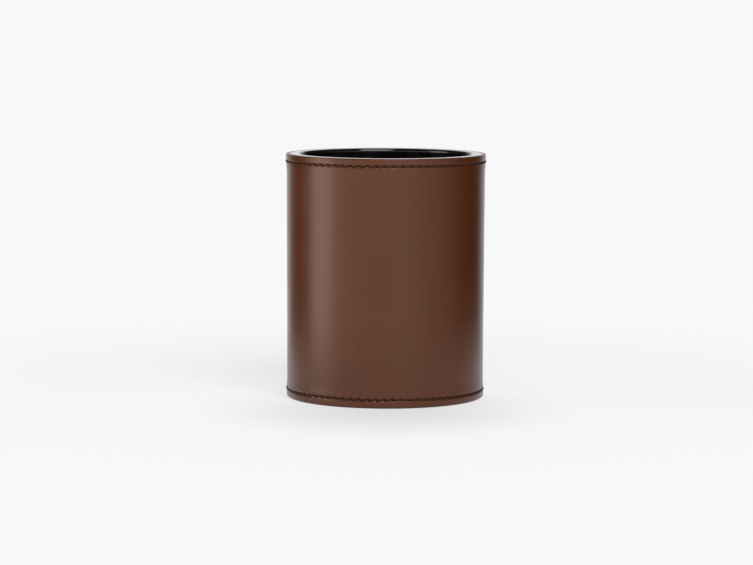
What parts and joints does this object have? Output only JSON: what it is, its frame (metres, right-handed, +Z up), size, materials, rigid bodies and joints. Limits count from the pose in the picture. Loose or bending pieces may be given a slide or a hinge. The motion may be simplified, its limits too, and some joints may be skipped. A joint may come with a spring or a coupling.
{
  "type": "pen cup",
  "caption": "Round leather-covered pen cup with a black plastic liner, stitched rims and a felt base; open top, no moving parts.",
  "frame": {"origin": "centre of the base, on the table", "axes": "+Z up along the cup's axis, -Y towards the front, the sleeve's back seam at +Y, +X to the right seen from the front"},
  "size_m": [0.0824, 0.0824, 0.1],
  "materials": {
    "brown_leather": "smooth finished leather, semi-matt",
    "dark_thread": "waxed three-ply thread",
    "black_plastic": "glossy injection-moulded",
    "stiffener_fibre": "plain fibreboard",
    "base_fibre": "plain fibreboard",
    "black_felt": "pressed felt"
  },
  "bodies": {
    "root": {"leather_wrap": "brown_leather", "stiffener_board": "stiffener_fibre", "top_seam_needle_thread": "dark_thread", "top_seam_bobbin_thread": "dark_thread", "foot_seam_needle_thread": "dark_thread", "foot_seam_bobbin_thread": "dark_thread", "back_seam_needle_thread": "dark_thread", "back_seam_bobbin_thread": "dark_thread", "liner_cup": "black_plastic", "base_board": "base_fibre", "base_pad": "black_felt"}
  },
  "joints": []
}
